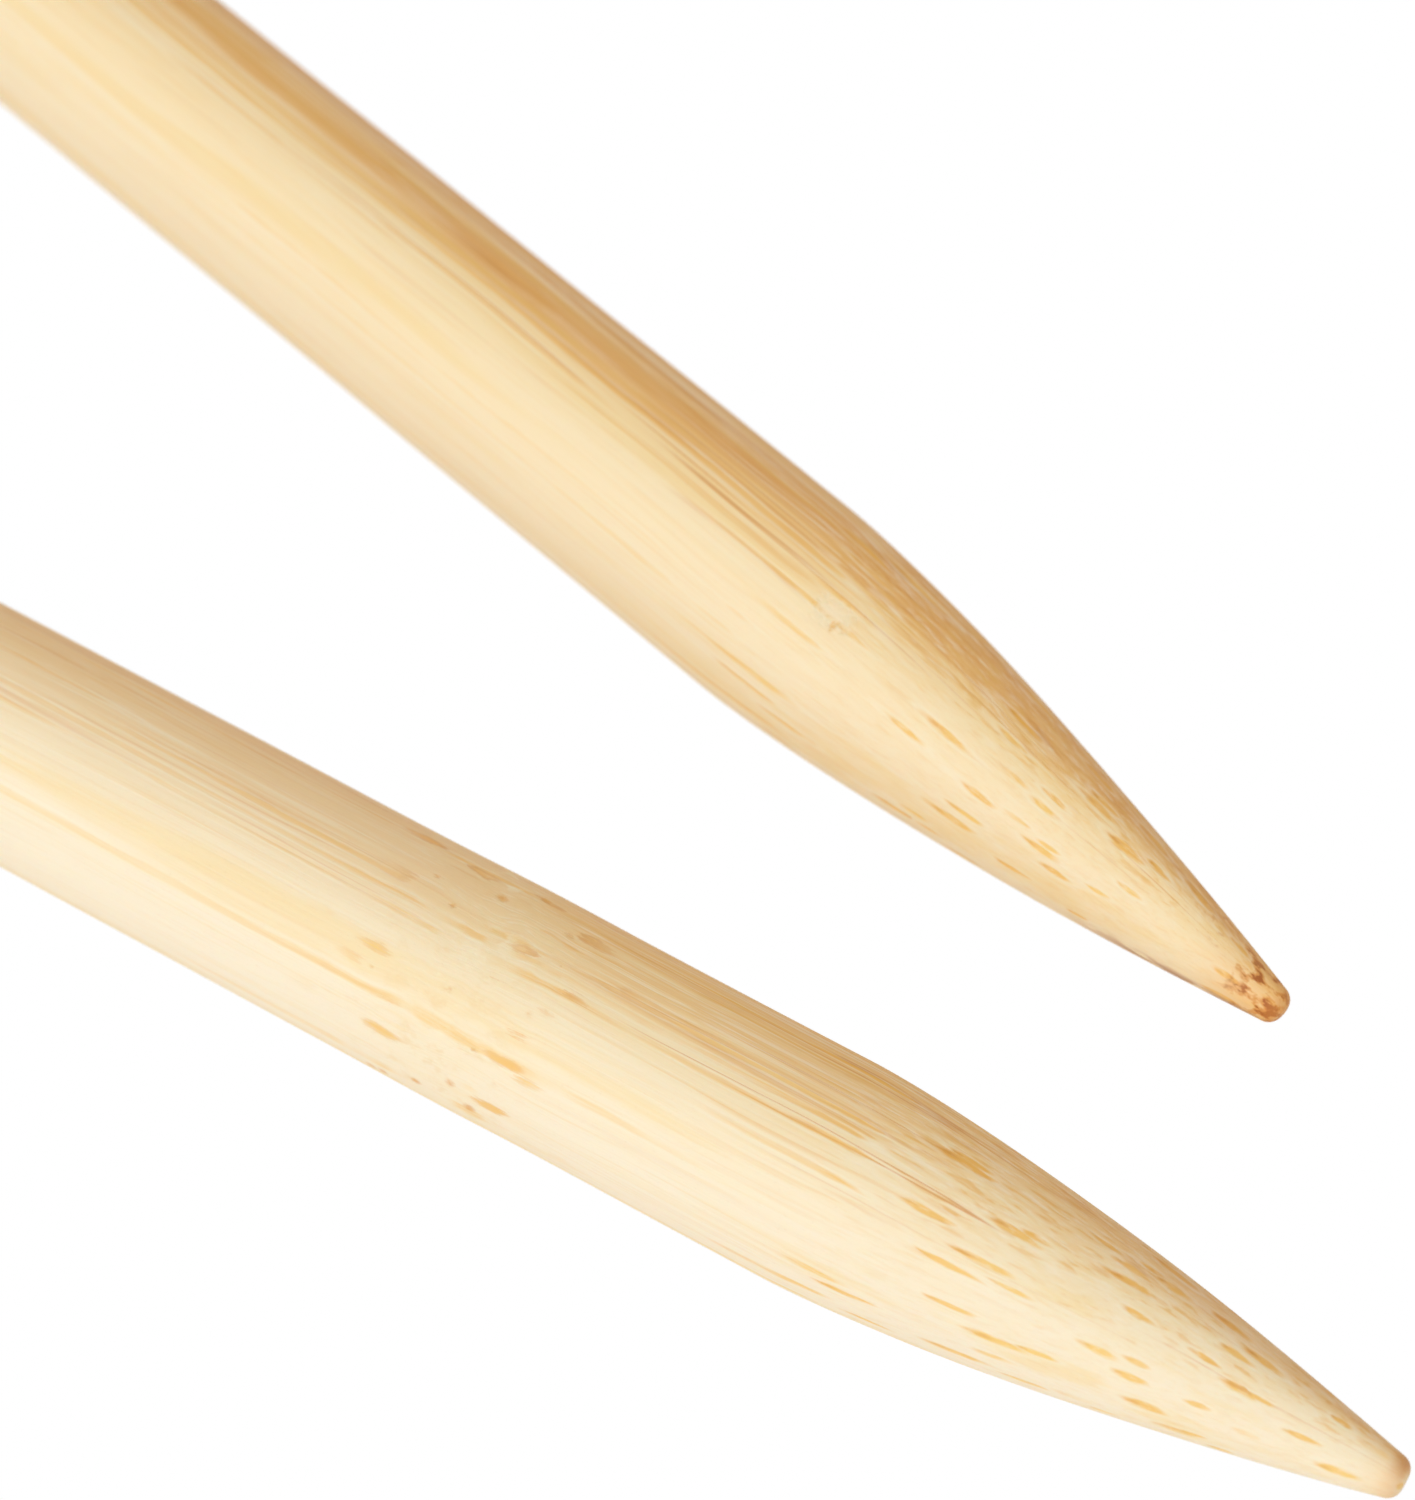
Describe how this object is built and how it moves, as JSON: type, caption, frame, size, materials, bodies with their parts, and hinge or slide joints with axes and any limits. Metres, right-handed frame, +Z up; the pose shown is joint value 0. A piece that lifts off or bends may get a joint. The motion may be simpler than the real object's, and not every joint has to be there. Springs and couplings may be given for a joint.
{
  "type": "circular knitting needle",
  "caption": "Circular knitting needle: two blunt-pointed bamboo tips joined by a round flexible nylon cable that swivels in metal joins.",
  "frame": {"origin": "on the resting plane, under the middle of the bounding box of the needle as it is laid down", "axes": "+X the way both points face, +Z up from the table, the right needle on the -Y side"},
  "size_m": [0.2942, 0.0876, 0.01],
  "materials": {
    "bamboo": "satin, sealed bamboo with fine straight grain",
    "nickel_plated_brass": "satin nickel plate",
    "stainless_steel": "turned",
    "brass": "turned",
    "white_acetal": "matte",
    "clear_nylon": "translucent, smooth"
  },
  "bodies": {
    "right_needle": {"right_bamboo_tip": "bamboo", "right_ferrule": "nickel_plated_brass", "right_retaining_bush": "brass"},
    "cable_01": {"right_cable_end_fitting": "stainless_steel", "right_thrust_washer": "white_acetal", "cable_segment_01": "clear_nylon"},
    "cable_02": {"cable_segment_02": "clear_nylon"},
    "cable_03": {"cable_segment_03": "clear_nylon"},
    "cable_04": {"cable_segment_04": "clear_nylon"},
    "cable_05": {"cable_segment_05": "clear_nylon"},
    "cable_06": {"cable_segment_06": "clear_nylon"},
    "cable_07": {"cable_segment_07": "clear_nylon"},
    "cable_08": {"cable_segment_08": "clear_nylon"},
    "cable_09": {"cable_segment_09": "clear_nylon"},
    "cable_10": {"cable_segment_10": "clear_nylon"},
    "cable_11": {"cable_segment_11": "clear_nylon"},
    "cable_12": {"cable_segment_12": "clear_nylon"},
    "cable_13": {"cable_segment_13": "clear_nylon"},
    "cable_14": {"cable_segment_14": "clear_nylon"},
    "cable_15": {"cable_segment_15": "clear_nylon"},
    "cable_16": {"cable_segment_16": "clear_nylon"},
    "cable_17": {"cable_segment_17": "clear_nylon"},
    "cable_18": {"cable_segment_18": "clear_nylon"},
    "cable_19": {"cable_segment_19": "clear_nylon"},
    "cable_20": {"cable_segment_20": "clear_nylon", "left_cable_end_fitting": "stainless_steel", "left_thrust_washer": "white_acetal"},
    "left_needle": {"left_bamboo_tip": "bamboo", "left_ferrule": "nickel_plated_brass", "left_retaining_bush": "brass"}
  },
  "joints": [
    {"name": "right_swivel", "type": "hinge", "parent": "right_needle", "child": "cable_01", "pos_m": [0.0137, -0.01796, 0.00498], "axis": [0.9936, 0.1129, 0], "continuous": true},
    {"name": "right_leg_bend", "type": "hinge", "parent": "cable_01", "child": "cable_02", "pos_m": [-0.01461, -0.02195, 0.00468], "axis": [0.204, -0.979, 0], "range_deg": [-11, 11]},
    {"name": "right_leg_bend_02", "type": "hinge", "parent": "cable_02", "child": "cable_03", "pos_m": [-0.03061, -0.02597, 0.00392], "axis": [0.2789, -0.9603, 0], "range_deg": [-11, 11]},
    {"name": "right_leg_bend_03", "type": "hinge", "parent": "cable_03", "child": "cable_04", "pos_m": [-0.04634, -0.03094, 0.00298], "axis": [0.3153, -0.949, 0], "range_deg": [-11, 11]},
    {"name": "right_leg_bend_04", "type": "hinge", "parent": "cable_04", "child": "cable_05", "pos_m": [-0.06202, -0.03606, 0.00211], "axis": [0.2951, -0.9555, 0], "range_deg": [-11, 11]},
    {"name": "right_leg_bend_05", "type": "hinge", "parent": "cable_05", "child": "cable_06", "pos_m": [-0.07797, -0.04029, 0.00157], "axis": [0.2033, -0.9791, 0], "range_deg": [-11, 11]},
    {"name": "loop_bend_06", "type": "hinge", "parent": "cable_06", "child": "cable_07", "pos_m": [-0.09432, -0.04232, 0.0015], "axis": [0.003, 0.0001, 1], "range_deg": [-0.3, 12.16]},
    {"name": "loop_bend_07", "type": "hinge", "parent": "cable_07", "child": "cable_08", "pos_m": [-0.11071, -0.04079, 0.0015], "axis": [-0.0016, 0.0025, 1], "range_deg": [-0.3, 26.11]},
    {"name": "cable_fold", "type": "hinge", "parent": "cable_08", "child": "cable_09", "pos_m": [-0.12593, -0.03461, 0.0015], "axis": [0.5268, 0.85, 0], "range_deg": [-30, 30]},
    {"name": "loop_bend_09", "type": "hinge", "parent": "cable_09", "child": "cable_10", "pos_m": [-0.138, -0.02352, 0.0015], "axis": [0.003, 0.0002, 1], "range_deg": [-0.3, 33.98]},
    {"name": "loop_bend_10", "type": "hinge", "parent": "cable_10", "child": "cable_11", "pos_m": [-0.14476, -0.0086, 0.0015], "axis": [-0.0016, 0.0025, 1], "range_deg": [-0.3, 24.29]},
    {"name": "loop_bend_11", "type": "hinge", "parent": "cable_11", "child": "cable_12", "pos_m": [-0.14474, 0.00777, 0.0015], "axis": [-0.0013, -0.0027, 1], "range_deg": [-0.3, 36.01]},
    {"name": "cable_fold_12", "type": "hinge", "parent": "cable_12", "child": "cable_13", "pos_m": [-0.13799, 0.0227, 0.0015], "axis": [0.8083, -0.5887, 0], "range_deg": [-30, 30]},
    {"name": "loop_bend_13", "type": "hinge", "parent": "cable_13", "child": "cable_14", "pos_m": [-0.12598, 0.03388, 0.0015], "axis": [-0.0017, 0.0025, 1], "range_deg": [-0.3, 30.52]},
    {"name": "loop_bend_14", "type": "hinge", "parent": "cable_14", "child": "cable_15", "pos_m": [-0.11087, 0.04032, 0.0015], "axis": [-0.0013, -0.0027, 1], "range_deg": [-0.3, 29.89]},
    {"name": "left_leg_bend", "type": "hinge", "parent": "cable_15", "child": "cable_16", "pos_m": [-0.09453, 0.04234, 0.00157], "axis": [0.009, -1, 0], "range_deg": [-11, 11]},
    {"name": "left_leg_bend_16", "type": "hinge", "parent": "cable_16", "child": "cable_17", "pos_m": [-0.0781, 0.04105, 0.00211], "axis": [-0.1514, -0.9885, 0], "range_deg": [-11, 11]},
    {"name": "left_leg_bend_17", "type": "hinge", "parent": "cable_17", "child": "cable_18", "pos_m": [-0.06193, 0.0378, 0.00298], "axis": [-0.2306, -0.973, 0], "range_deg": [-11, 11]},
    {"name": "left_leg_bend_18", "type": "hinge", "parent": "cable_18", "child": "cable_19", "pos_m": [-0.04591, 0.03383, 0.00392], "axis": [-0.2395, -0.9709, 0], "range_deg": [-11, 11]},
    {"name": "left_leg_bend_19", "type": "hinge", "parent": "cable_19", "child": "cable_20", "pos_m": [-0.02982, 0.03019, 0.00468], "axis": [-0.1937, -0.9811, 0], "range_deg": [-11, 11]},
    {"name": "left_swivel", "type": "hinge", "parent": "cable_20", "child": "left_needle", "pos_m": [-0.0015, 0.02627, 0.00498], "axis": [0.9936, -0.1129, 0], "continuous": true}
  ],
  "couplings": [
    {"joint": "right_leg_bend_02", "follows": "right_leg_bend", "ratio": 1},
    {"joint": "right_leg_bend_03", "follows": "right_leg_bend", "ratio": 1},
    {"joint": "right_leg_bend_04", "follows": "right_leg_bend", "ratio": 1},
    {"joint": "right_leg_bend_05", "follows": "right_leg_bend", "ratio": 1},
    {"joint": "cable_fold_12", "follows": "cable_fold", "ratio": 1},
    {"joint": "left_leg_bend_16", "follows": "left_leg_bend", "ratio": 1},
    {"joint": "left_leg_bend_17", "follows": "left_leg_bend", "ratio": 1},
    {"joint": "left_leg_bend_18", "follows": "left_leg_bend", "ratio": 1},
    {"joint": "left_leg_bend_19", "follows": "left_leg_bend", "ratio": 1}
  ]
}
